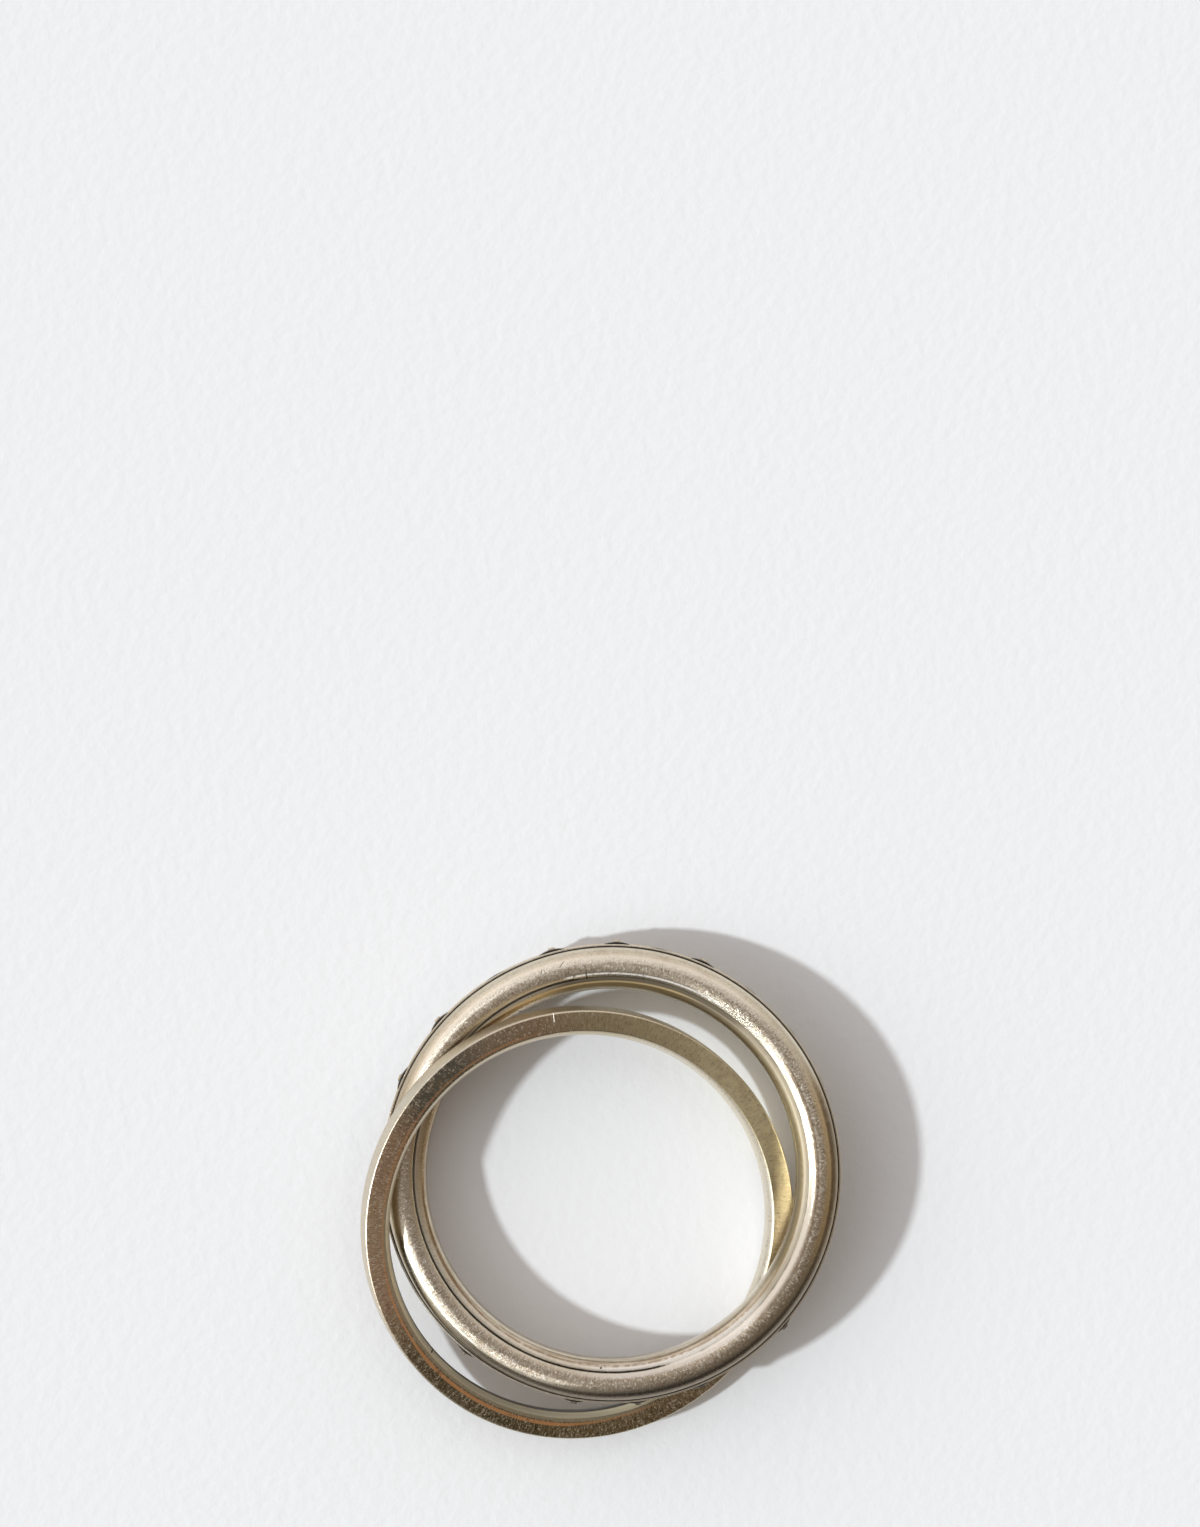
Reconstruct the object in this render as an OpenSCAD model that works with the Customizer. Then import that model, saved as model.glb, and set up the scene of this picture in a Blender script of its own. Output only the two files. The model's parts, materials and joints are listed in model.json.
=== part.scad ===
// A silver double ring: a heavy ring with domed rims and a relief band, and a
// thin plain ring linked through it. Both lie on their sides on a flat surface,
// each resting partly on the other.

/* [Main ring] */
// Radius of the hole that the finger goes through
bore_r = 9.25; // [8.25:0.05:10.25]
// Height of the ring from rim to rim
main_h = 3; // [2.95:0.05:3.2]
// Thickness of the inner sleeve at the middle of its height
sleeve_t = 0.64; // [0.62:0.01:0.7]
// Radius of the long curve from end to end of the sleeve's inner wall
sleeve_curve = 7.5; // [7:0.1:8]
// Radius of the round shoulder that leads from that wall up to the seam
shoulder = 0.66; // [0.6:0.01:0.68]
// How far beyond the seam the shoulder's centre lies, so that it still rises there
shoulder_past = 0.05; // [0.03:0.01:0.1]
// Width of the fine dark seam between the sleeve and the rims
seam_w = 0.06; // [0.04:0.01:0.12]
// How deep the seam reaches below the crests of the rims
seam_depth = 0.95; // [0.8:0.05:1]
// Width of the smooth domed rim on each side of the relief band
rim_w = 1.42; // [1.2:0.01:1.6]
// Distance from the seam out to the crest of a rim, where its dome is highest
rim_crest = 0.55; // [0.5:0.01:0.7]
// Radius of the round dome across a rim
rim_crown = 1; // [0.95:0.01:1.1]
// Radius of the rim's outer edge
rim_out_edge = 0.4; // [0.3:0.01:0.45]
// Radius of the rim's inner edge, beside the seam
rim_in_edge = 0.18; // [0.1:0.01:0.25]

/* [Relief band] */
// Height of the band between the two rims
band_h = 1.6; // [1.5:0.05:1.7]
// How far the band's edges stand out past the rims
band_proud = 0.14; // [0.05:0.01:0.2]
// Width of the raised line along each edge of the band
edge_w = 0.15; // [0.1:0.01:0.25]
// Depth of the ground between the two edge lines
ground_depth = 0.1; // [0.05:0.01:0.12]
// Length of a leaf along the band
leaf_l = 1.5; // [1.2:0.05:1.8]
// Width of a leaf across the band
leaf_w = 1.1; // [0.8:0.05:1.25]
// Height of a high leaf's middle above the ground
leaf_rise = 0.24; // [0.15:0.01:0.3]
// Height of a low leaf's middle above the ground
low_rise = 0.13; // [0.11:0.01:0.15]
// Side of the square stud in the middle of each high leaf
stud_w = 0.36; // [0.2:0.01:0.5]
// Height of the stud above the leaf's middle
stud_rise = 0.06; // [0.04:0.01:0.15]

/* [Plain ring] */
// Inner radius of the plain ring
plain_bore_r = 9.6; // [9.5:0.05:9.8]
// Thickness of the plain ring's wall
plain_t = 1.35; // [1.2:0.05:1.4]
// Height of the plain ring, between its two flat faces
plain_h = 1.45; // [1.2:0.05:1.6]
// Radius of the curve from face to face of its inner wall
plain_curve = 0.96; // [0.9:0.01:1.5]
// Radius of its eased inner edges
plain_in_edge = 0.08; // [0.05:0.01:0.12]
// Radius of its eased outer edges
plain_out_edge = 0.1; // [0.05:0.01:0.2]

/* [How the rings lie] */
// Distance between the two centres, seen from above
centre_gap = 3; // [2.9:0.05:3.3]
// Clearance that the two rings keep where one rests on the other
ring_gap = 0.08; // [0.05:0.01:0.15]
// How far each ring's lean turns away from square to the line of centres
lean_turn = 6; // [0:0.5:8]

/* [Hidden] */
$fn = 180;

// Where the high and the low leaves sit round the band, in degrees from +X
high_leaves = [11, 33, 49.5, 83, 100, 132, 175, 205, 221, 237.5, 263];
low_leaves = [22, 65, 116, 148, 161.5, 190, 251, 280, 296, 312, 328, 342.5, 357];

// Main ring, in its own upright frame with its middle at the origin
sleeve_r = bore_r + sleeve_t;
rim_r0 = sleeve_r + seam_w;
rim_r1 = rim_r0 + rim_w;
// Radius of a rim's crest, and the height of the centre that its dome is struck from
rim_c = rim_r0 + rim_crest;
crown_z = main_h / 2 - rim_crown;
band_r = rim_r1 + band_proud;
ground_r = band_r - ground_depth;
leaf_r = ground_r + leaf_rise;
stud_r = leaf_r + stud_rise;
seam_floor = main_h / 2 - seam_depth;
// Centre that the sleeve's shoulder is struck from, so that it runs into the long curve
shoulder_r = sleeve_r + shoulder_past;
shoulder_z = sqrt(pow(sleeve_curve - shoulder, 2) - pow(bore_r + sleeve_curve - shoulder_r, 2));
// How far a leaf's root is sunk into the ground
leaf_root = 0.3;
// Radius of the two discs whose overlap is a leaf
leaf_disc = (leaf_l * leaf_l + leaf_w * leaf_w) / (4 * leaf_w);
// How far a leaf's tips stay proud of the ground
tip_rise = 0.04;

plain_r = plain_bore_r + plain_t;

// A ring stands on its lowest rim point and crosses the other ring's face; the
// reach is the level distance between those two places
main_reach = 19.2;
plain_reach = 20.06;
main_lean = asin((plain_h + ring_gap) / main_reach);
plain_lean = asin((main_h + ring_gap) / plain_reach);
// Height of each centre, so that the lowest point just touches z = 0
main_z = rim_c * sin(main_lean) + crown_z * cos(main_lean) + rim_crown;
plain_z = (plain_r - plain_out_edge) * sin(plain_lean)
    + (plain_h / 2 - plain_out_edge) * cos(plain_lean) + plain_out_edge;
// The origin is under the middle of both rings together
middle_x = (ground_r + low_rise - plain_r) / 2;
main_x = centre_gap / 2 - middle_x;
plain_x = -centre_gap / 2 - middle_x;
// Compass directions that the two ring axes lean towards
main_heading = 90 - lean_turn;
plain_heading = -90 - lean_turn;

silver = "#b9ad98";
worn_silver = "#cfc5b2";

// Tips a ring's upright axis over by an angle, towards a compass heading
module leaned(angle, heading) {
    rotate([0, 0, heading]) rotate([0, angle, 0]) rotate([0, 0, -heading]) children();
}

// A bar's section from r0 to r1 and from z = -top to z = top: its inner wall
// follows a long curve, and all its edges are eased
module bar_section(r0, r1, top, curve, in_edge, out_edge) {
    edge_z = top - in_edge;
    edge_r = r0 + curve - sqrt(pow(curve - in_edge, 2) - pow(edge_z, 2));
    flat_r = r1 - out_edge;
    // Height where the long curve runs into the eased edge
    meet_z = edge_z * curve / (curve - in_edge);
    intersection() {
        translate([r0 + curve, 0]) circle(r = curve);
        translate([r0, -meet_z]) square([flat_r - r0, 2 * meet_z]);
    }
    translate([edge_r, -top]) square([flat_r - edge_r, 2 * top]);
    translate([edge_r, -top + out_edge]) square([r1 - edge_r, 2 * (top - out_edge)]);
    for (side = [-1, 1]) {
        translate([edge_r, side * edge_z]) circle(r = in_edge);
        translate([flat_r, side * (top - out_edge)]) circle(r = out_edge);
    }
}

// The two rims: each a round dome between two eased edges
module rims_section() {
    in_r = rim_r0 + rim_in_edge;
    out_r = rim_r1 - rim_out_edge;
    in_z = crown_z + sqrt(pow(rim_crown - rim_in_edge, 2) - pow(rim_c - in_r, 2));
    out_z = crown_z + sqrt(pow(rim_crown - rim_out_edge, 2) - pow(out_r - rim_c, 2));
    // Where the dome runs into each eased edge
    dome_r0 = rim_c - (rim_c - in_r) * rim_crown / (rim_crown - rim_in_edge);
    dome_r1 = rim_c + (out_r - rim_c) * rim_crown / (rim_crown - rim_out_edge);
    translate([rim_r0, -in_z]) square([out_r - rim_r0, 2 * in_z]);
    translate([in_r, -out_z]) square([rim_r1 - in_r, 2 * out_z]);
    for (side = [-1, 1]) {
        intersection() {
            translate([rim_c, side * crown_z]) circle(r = rim_crown);
            translate([dome_r0, (side - 1) * main_h / 2]) square([dome_r1 - dome_r0, main_h]);
        }
        translate([in_r, side * in_z]) circle(r = rim_in_edge);
        translate([out_r, side * out_z]) circle(r = rim_out_edge);
    }
}

// The inner sleeve: its long curve, and a round shoulder at each end, cut at the seam
module sleeve_section() {
    meet_z = shoulder_z * sleeve_curve / (sleeve_curve - shoulder);
    intersection() {
        translate([bore_r + sleeve_curve, 0]) circle(r = sleeve_curve);
        translate([bore_r, -meet_z]) square([sleeve_t, 2 * meet_z]);
    }
    for (side = [-1, 1]) intersection() {
        translate([shoulder_r, side * shoulder_z]) circle(r = shoulder);
        translate([bore_r, (side - 1) * main_h / 2]) square([sleeve_t, main_h]);
    }
}

// The body that ties sleeve, rims and band together, below the seams
module core_section() {
    translate([sleeve_r - 0.3, -seam_floor]) square([rim_c - sleeve_r + 0.3, 2 * seam_floor]);
}

// The band: its ground, and a raised line along each edge
module band_section() {
    translate([rim_c, -band_h / 2]) square([ground_r - rim_c, band_h]);
    for (side = [-1, 1])
        translate([rim_c, side * (band_h - edge_w) / 2 - edge_w / 2]) square([band_r - rim_c, edge_w]);
}

// One leaf: two discs overlap to its outline, and a ball domes its face
module leaf(rise) {
    dome = rise - tip_rise;
    ball = (pow(leaf_l / 2, 2) + pow(dome, 2)) / (2 * dome);
    intersection() {
        translate([ground_r - leaf_root, 0, 0]) rotate([0, 90, 0])
            linear_extrude(height = leaf_root + rise)
                intersection_for(side = [-1, 1])
                    translate([side * (leaf_disc - leaf_w / 2), 0]) circle(r = leaf_disc);
        translate([ground_r + rise - ball, 0, 0]) sphere(r = ball);
    }
}

// The square stud in the middle of a high leaf
module stud() {
    translate([ground_r - leaf_root, -stud_w / 2, -stud_w / 2])
        cube([leaf_root + leaf_rise + stud_rise, stud_w, stud_w]);
}

module main_ring() {
    color(silver)
        translate([main_x, 0, main_z]) leaned(main_lean, main_heading) {
            rotate_extrude() {
                sleeve_section();
                core_section();
                band_section();
                rims_section();
            }
            for (at = high_leaves) rotate([0, 0, at]) {
                leaf(leaf_rise);
                stud();
            }
            for (at = low_leaves) rotate([0, 0, at]) leaf(low_rise);
        }
}

module plain_ring() {
    color(worn_silver)
        translate([plain_x, 0, plain_z]) leaned(plain_lean, plain_heading)
            rotate_extrude()
                bar_section(plain_bore_r, plain_r, plain_h / 2, plain_curve, plain_in_edge,
                    plain_out_edge);
}

main_ring();
plain_ring();
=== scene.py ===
# %% [markdown]
# # A silver double ring
# The object is two rings linked through each other: a heavy ring with domed rims
# and a relief band, and a thin plain ring. The CAD model is exact, but its mesh
# has facets, and polished silver shows every facet as a broken highlight. So this
# script turns both rings again as fine meshes on the same section, gives them
# worn, darkened silver, and lights them as in the photo.
#
# The first step loads the packed CAD model, which nothing here moves.

# %% Load the frame
import json
import math

import bpy
from mathutils import Matrix, Vector


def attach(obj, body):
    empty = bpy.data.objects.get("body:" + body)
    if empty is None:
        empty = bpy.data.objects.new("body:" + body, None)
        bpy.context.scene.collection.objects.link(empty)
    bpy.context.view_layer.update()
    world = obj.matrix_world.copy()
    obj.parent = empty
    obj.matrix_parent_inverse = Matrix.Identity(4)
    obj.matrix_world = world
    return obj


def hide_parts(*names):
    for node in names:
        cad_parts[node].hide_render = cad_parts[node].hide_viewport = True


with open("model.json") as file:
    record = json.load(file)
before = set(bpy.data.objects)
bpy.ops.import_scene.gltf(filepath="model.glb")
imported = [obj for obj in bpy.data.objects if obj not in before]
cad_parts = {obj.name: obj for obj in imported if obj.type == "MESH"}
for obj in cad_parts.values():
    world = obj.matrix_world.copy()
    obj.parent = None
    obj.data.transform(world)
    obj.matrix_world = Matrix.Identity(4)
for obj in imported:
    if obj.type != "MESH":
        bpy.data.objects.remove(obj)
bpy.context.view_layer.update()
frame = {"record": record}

MM = 0.001
mounts = {mount["name"]: mount for mount in frame["record"]["mounts"]}

# %% [markdown]
# Each ring leans, because it rests partly on the other. The record gives the middle
# and the axis of both bores, so a ring can be modelled upright round its own axis
# and then tipped onto that axis by the shortest turn, as the CAD source does. It
# could also be modelled where it leans, but then no height or radius would be a
# round number.

# %% Where the rings lie
def lying(mount):
    """The matrix that takes an upright ring at the origin to where it lies."""
    up = Vector((0, 0, 1))
    lean = up.rotation_difference(Vector(mount["axis"]))
    return Matrix.Translation(mount["pos_m"]) @ lean.to_matrix().to_4x4()


main_place = lying(mounts["main_finger_bore"])
plain_place = lying(mounts["plain_finger_bore"])
main_bore = mounts["main_finger_bore"]["dims"]["r_mm"]
plain_bore = mounts["plain_finger_bore"]["dims"]["r_mm"]
print("bores", main_bore, plain_bore, "mm, leaning",
      [round(math.degrees(m.to_quaternion().angle), 2) for m in (main_place, plain_place)])

# %% [markdown]
# A ring is turned metal, so its mesh is a section swept round an axis. A section is
# a short list of points, in millimetres: how far out, and how high. Its round
# stretches come from one function for arcs. A bevel modifier could round the edges
# too, but it can't make the long curve of a wall or the dome of a rim. Both rings
# are the same above and below their middle, so only the upper half is written, and
# it is then mirrored.

# %% Sections
def arc(middle, radius, start, end, steps):
    """Points round part of a circle; angles are in degrees, up from straight out."""
    turns = [math.radians(start + (end - start) * i / steps) for i in range(steps + 1)]
    return [(middle[0] + radius * math.cos(t), middle[1] + radius * math.sin(t)) for t in turns]


def whole(half):
    """Closes the upper half of a section with its mirror image."""
    return half + [(r, -z) for r, z in reversed(half)]


def bowed_wall(r0, curve, edge, edge_r, edge_z, end, steps):
    """An inner wall that bulges towards the finger, from mid-height round its edge."""
    slope = math.degrees(math.asin(edge_z / (curve - edge)))
    wall = arc((r0 + curve, 0), curve, 180, 180 - slope, 2 * steps)[1:]
    return wall + arc((edge_r, edge_z), edge, 180 - slope, end, steps)[1:]


print("a quarter of a circle in 6 steps:", len(arc((0, 0), 1, 0, 90, 6)), "points")

# %% [markdown]
# The sweep makes a ring upright, in millimetres. Its points are then tipped to where
# the ring lies, and each point also keeps its upright place as an attribute. The
# finishes read that: the distance from the axis, the height and the angle round the
# ring say where wear and dirt belong, however it lies. Blender's object coordinates
# would be those of the tipped ring.

# %% Turn a section round the axis
UPRIGHT = "upright_mm"
SHARP_ANGLE = 38


def mesh_object(name, points, faces, place, body, replaced):
    """Makes a smooth mesh that rides on a CAD body and stands for a CAD node."""
    mesh = bpy.data.meshes.new(name)
    mesh.from_pydata([place @ (Vector(point) * MM) for point in points], [], faces)
    mesh.shade_smooth()
    mesh.set_sharp_from_angle(angle=math.radians(SHARP_ANGLE))
    upright = mesh.attributes.new(UPRIGHT, "FLOAT_VECTOR", "POINT")
    upright.data.foreach_set("vector", [x for point in points for x in point])
    made = bpy.data.objects.new(name, mesh)
    bpy.context.scene.collection.objects.link(made)
    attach(made, body)
    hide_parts(replaced)
    print(name, len(mesh.vertices), "points", 2 * len(faces), "triangles")
    return made


def turned(section, sectors, shift=None):
    """Sweeps a closed section; shift returns how far a point moves out and up, in mm."""
    points, faces = [], []
    rows = len(section)
    for i in range(sectors):
        turn = 2 * math.pi * i / sectors
        for r, z in section:
            out, up = shift(r, z, turn) if shift else (0, 0)
            points.append(((r + out) * math.cos(turn), (r + out) * math.sin(turn), z + up))
        for k in range(rows):
            k2 = (k + 1) % rows
            i2 = (i + 1) % sectors
            faces.append((i * rows + k, i * rows + k2, i2 * rows + k2, i2 * rows + k))
    return points, faces


square_bar = [(2, 0), (3, 0), (3, 1), (2, 1)]
print("a square bar turned in 8 sectors:", len(turned(square_bar, 8)[1]), "faces")

# %% [markdown]
# The main ring's section follows its real build. An inner sleeve with a gently
# bulging wall sits inside two rims, and a fine seam shows between them. Each rim is
# a round dome with a soft outer edge and a tighter inner one. These are the same
# sizes as in the CAD source, so the mesh lies on the solid's surface. The seam is
# real depth rather than a dark line, because light catches both of its lips.

# %% The main ring's section
MAIN_HALF_H = 1.5
SLEEVE_T, SLEEVE_CURVE, SHOULDER, SHOULDER_PAST = 0.64, 7.5, 0.66, 0.05
SEAM_W, SEAM_DEPTH = 0.06, 0.95
RIM_W, RIM_CREST, RIM_CROWN, RIM_OUT_EDGE, RIM_IN_EDGE = 1.42, 0.55, 1.0, 0.4, 0.18
HIDDEN_Z = 0.5  # The rim's outer wall has its last point here, behind the relief band

sleeve_r = main_bore + SLEEVE_T
rim_r0 = sleeve_r + SEAM_W
rim_r1 = rim_r0 + RIM_W
rim_crest = rim_r0 + RIM_CREST
seam_floor = MAIN_HALF_H - SEAM_DEPTH


def sleeve_half():
    """The sleeve's wall from mid-height up, and its round shoulder as far as the seam."""
    shoulder_r = sleeve_r + SHOULDER_PAST
    inside = SLEEVE_CURVE - SHOULDER
    shoulder_z = math.sqrt(inside ** 2 - (main_bore + SLEEVE_CURVE - shoulder_r) ** 2)
    seam_turn = 90 + math.degrees(math.asin(SHOULDER_PAST / SHOULDER))
    return bowed_wall(main_bore, SLEEVE_CURVE, SHOULDER, shoulder_r, shoulder_z, seam_turn, 18)


def rim_half():
    """The upper rim: its tight inner edge, its dome and its soft outer edge."""
    crown_z = MAIN_HALF_H - RIM_CROWN
    in_r, out_r = rim_r0 + RIM_IN_EDGE, rim_r1 - RIM_OUT_EDGE
    in_turn = math.degrees(math.asin((rim_crest - in_r) / (RIM_CROWN - RIM_IN_EDGE)))
    out_turn = math.degrees(math.asin((out_r - rim_crest) / (RIM_CROWN - RIM_OUT_EDGE)))
    in_z = crown_z + (RIM_CROWN - RIM_IN_EDGE) * math.cos(math.radians(in_turn))
    out_z = crown_z + (RIM_CROWN - RIM_OUT_EDGE) * math.cos(math.radians(out_turn))
    inner = arc((in_r, in_z), RIM_IN_EDGE, 180, 90 + in_turn, 8)
    dome = arc((rim_crest, crown_z), RIM_CROWN, 90 + in_turn, 90 - out_turn, 18)[1:]
    outer = arc((out_r, out_z), RIM_OUT_EDGE, 90 - out_turn, 0, 12)[1:]
    return inner + dome + outer


main_half = (sleeve_half() + [(sleeve_r, seam_floor), (rim_r0, seam_floor)] + rim_half()
             + [(rim_r1, HIDDEN_Z)])
print("main section", len(whole(main_half)), "points, from", main_bore, "to", round(rim_r1, 2), "mm")

# %% [markdown]
# In the photo the seam is a crisp dark line on one side of the ring only. On the
# other the sleeve was rubbed over against the rim until the gap closed, and the two
# run on as one slope. Paint alone would leave a groove there, so the upper points
# between the sleeve's end and the rim are laid on a straight slope, and a fine trace
# of the seam stays.
#
# Where wear lies is told by the photo's angles: 0 is its right-hand side and 90 its
# top, and they run on past 360 where a stretch crosses the right. The ring's own +X
# lies at 55.7 of them.

# %% The rubbed side of the seam
PHOTO_TURN = 55.7
RUBBED_FROM, RUBBED_TO, RUBBED_FADE, GROOVE_FADE = 285, 460, 12, 1.5
SLOPE_START, SLOPE_END = sleeve_r - 0.02, rim_r0 + 0.16
SKIN_Z = 1.15  # Every point of the upper skin near the seam is higher than this
TRACE_DEPTH = 0.012
CLOSE = 0.01


def eased(x):
    """0 below 0, 1 above 1, and a smooth step between."""
    x = min(max(x, 0), 1)
    return x * x * (3 - 2 * x)


def between(start, end, r):
    """Height at a radius on the straight line from one point of the section to another."""
    return start[1] + (end[1] - start[1]) * (r - start[0]) / (end[0] - start[0])


def top_at(r):
    """The point of the main ring's upper skin at a radius, on the sleeve's end or the rim."""
    near = sorted(point for point in sleeve_half() + rim_half() if point[1] > SKIN_Z)
    for start, end in zip(near, near[1:]):
        if start[0] <= r <= end[0]:
            return r, between(start, end, r)
    return near[-1]


slope_start = top_at(SLOPE_START)
slope_end = top_at(SLOPE_END)


def rubbed(r, z, turn):
    """Moves the points of the upper seam onto the slope, on the rubbed side."""
    if z < seam_floor - CLOSE or not SLOPE_START < r < SLOPE_END:
        return 0, 0
    clock = (math.degrees(turn) + PHOTO_TURN) % 360
    clock += 360 if clock < RUBBED_FROM - RUBBED_FADE else 0
    in_groove = z < seam_floor + CLOSE
    fade, trace = (GROOVE_FADE, TRACE_DEPTH) if in_groove else (RUBBED_FADE, 0)
    much = eased((clock - RUBBED_FROM) / fade + 0.5) * eased((RUBBED_TO - clock) / fade + 0.5)
    return 0, (between(slope_start, slope_end, r) - trace - z) * much


print("slope from", [round(x, 3) for x in slope_start], "to", [round(x, 3) for x in slope_end])

# %% The main ring's body
MAIN_SECTORS = 510

points, faces = turned(whole(main_half), MAIN_SECTORS, rubbed)
main_body = mesh_object("main_ring_body", points, faces, main_place, "main_ring", "main_ring")

# %% [markdown]
# The relief band is cast and soldered on, so it is one skin with raised work, and
# not loose pieces. A sculpted or displaced mesh could show that, but a height map in
# code keeps the real sizes: for each point of the band it returns how far the metal
# stands out. A leaf is the overlap of two discs with a domed face, a groove for its
# vein and, on the high leaves, a square stud. High leaves sit where the photo shows
# bumps on the ring's outline; low ones fill the stretches where it is smooth. Their
# angles are counted from the ring's +X, as in the CAD source.

# %% The leaves
BAND_HALF_H, BAND_PROUD, GROUND_DEPTH, EDGE_W = 0.8, 0.14, 0.1, 0.15
LEAF_L, LEAF_W, TIP_RISE = 1.5, 1.1, 0.04
HIGH_RISE, LOW_RISE = 0.24, 0.125
STUD_W, STUD_RISE = 0.36, 0.06
VEIN_W, VEIN_DEPTH = 0.05, 0.025
LEAF_SOFT, STUD_SOFT = 0.07, 0.06  # Width of the rounding at a leaf's and a stud's foot
LEAF_REACH = 5  # No leaf reaches further than this from its middle, in degrees
HIGH_LEAVES = (11, 33, 49.5, 83, 100, 132, 175, 205, 221, 237.5, 263)
LOW_LEAVES = (22, 65, 116, 148, 161.5, 190, 251, 280, 296, 312, 328, 342.5, 357)

band_r = rim_r1 + BAND_PROUD
ground_r = band_r - GROUND_DEPTH
ground_half_h = BAND_HALF_H - EDGE_W
leaf_disc = (LEAF_L ** 2 + LEAF_W ** 2) / (4 * LEAF_W)


def leaf_height(along, across, rise, stud):
    """How far a leaf stands out of the ground at a point, both measured from its middle."""
    inside = leaf_disc - math.hypot(along, abs(across) + leaf_disc - LEAF_W / 2)
    if inside <= 0:
        return 0
    dome = rise - TIP_RISE
    ball = ((LEAF_L / 2) ** 2 + dome ** 2) / (2 * dome)
    height = rise - (along ** 2 + across ** 2) / (2 * ball)
    height -= VEIN_DEPTH * math.exp(-((across / VEIN_W) ** 2))
    if stud:
        side = max(abs(along), abs(across))
        height = max(height, (rise + STUD_RISE) * eased((STUD_W / 2 + STUD_SOFT / 2 - side) / STUD_SOFT))
    return height * eased(inside / LEAF_SOFT)


def relief(r, z, turn):
    """The band's height map: only the outer skin between the two edge lines moves."""
    if r < ground_r - CLOSE or abs(z) >= ground_half_h - CLOSE:
        return 0, 0
    best = 0
    for leaves, rise, stud in ((HIGH_LEAVES, HIGH_RISE, True), (LOW_LEAVES, LOW_RISE, False)):
        for at in leaves:
            apart = (math.degrees(turn) - at + 180) % 360 - 180
            if abs(apart) < LEAF_REACH:
                best = max(best, leaf_height(math.radians(apart) * ground_r, z, rise, stud))
    return best, 0


print(len(HIGH_LEAVES), "high leaves and", len(LOW_LEAVES), "low ones,", round(ground_r, 2), "mm out")

# %% [markdown]
# The band's own section is the ground, in rows fine enough for the leaves, and a
# rounded line along each edge. Its back is sunk into the rims, as the real band is
# soldered on, so no gap shows.

# %% The relief band
BAND_SECTORS = 1300
GROUND_ROWS, ROW_START, ROW_STEP = 16, 0.02, 0.04
EDGE_ROUND, EDGE_FOOT = 0.04, 0.06
BAND_ROOT = 0.25

line_r = band_r - EDGE_ROUND
band_half = ([(ground_r, ROW_START + ROW_STEP * i) for i in range(GROUND_ROWS)]
             + [(ground_r, ground_half_h - CLOSE), (line_r, ground_half_h + CLOSE)]
             + arc((line_r, ground_half_h + EDGE_FOOT), EDGE_ROUND, -90, 0, 4)
             + arc((line_r, BAND_HALF_H - EDGE_ROUND), EDGE_ROUND, 0, 90, 4)
             + [(rim_r1 - BAND_ROOT, BAND_HALF_H)])
band_section = whole(list(reversed(band_half)))
points, faces = turned(list(reversed(band_section)), BAND_SECTORS, relief)
main_band = mesh_object("relief_band", points, faces, main_place, "main_ring", "main_ring")

# %% [markdown]
# The plain ring is a flat band with a wall that bulges towards the finger and
# barely eased edges. Its two faces are flat, so one straight stretch of the section
# is enough there, and the same sweep makes it.

# %% The plain ring
PLAIN_SECTORS = 1080
PLAIN_T, PLAIN_HALF_H, PLAIN_CURVE = 1.35, 0.725, 0.96
PLAIN_IN_EDGE, PLAIN_OUT_EDGE = 0.08, 0.1
PLAIN_WALL_Z = 0.2  # A row of points on the outer wall, on either side of its middle

plain_r = plain_bore + PLAIN_T
edge_z = PLAIN_HALF_H - PLAIN_IN_EDGE
edge_r = plain_bore + PLAIN_CURVE - math.sqrt((PLAIN_CURVE - PLAIN_IN_EDGE) ** 2 - edge_z ** 2)
plain_half = (bowed_wall(plain_bore, PLAIN_CURVE, PLAIN_IN_EDGE, edge_r, edge_z, 90, 8)
              + arc((plain_r - PLAIN_OUT_EDGE, PLAIN_HALF_H - PLAIN_OUT_EDGE), PLAIN_OUT_EDGE, 90, 0, 6)
              + [(plain_r, PLAIN_WALL_Z)])
points, faces = turned(whole(plain_half), PLAIN_SECTORS)
plain_body = mesh_object("plain_ring_body", points, faces, plain_place, "plain_ring", "plain_ring")

# %% [markdown]
# Next come the finishes. A material is a graph of nodes, and wiring one by hand
# hides the idea. A small class that wraps a socket lets the maths be written as plain
# arithmetic: each operator adds one Math node and returns its output. Every other
# node comes from one method that takes its type, its settings and its inputs.
# Colours never go through the arithmetic, because a Math node would turn them grey:
# they are mixed by a mask.

# %% A socket that does arithmetic
class Wire:
    """An output socket in a node graph; arithmetic on it adds Math nodes."""

    def __init__(self, graph, socket):
        self.maths = graph.maths
        self.socket = socket

    def __add__(self, other):
        return self.maths("ADD", self, other)

    def __radd__(self, other):
        return self.maths("ADD", other, self)

    def __sub__(self, other):
        return self.maths("SUBTRACT", self, other)

    def __rsub__(self, other):
        return self.maths("SUBTRACT", other, self)

    def __mul__(self, other):
        return self.maths("MULTIPLY", self, other)

    def __rmul__(self, other):
        return self.maths("MULTIPLY", other, self)

    def __truediv__(self, other):
        return self.maths("DIVIDE", self, other)

    def __rtruediv__(self, other):
        return self.maths("DIVIDE", other, self)

    def __pow__(self, other):
        return self.maths("POWER", self, other)

    def __abs__(self):
        return self.maths("ABSOLUTE", self)


print("reflected forms:", [name for name in vars(Wire) if name.startswith("__r")])

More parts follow.
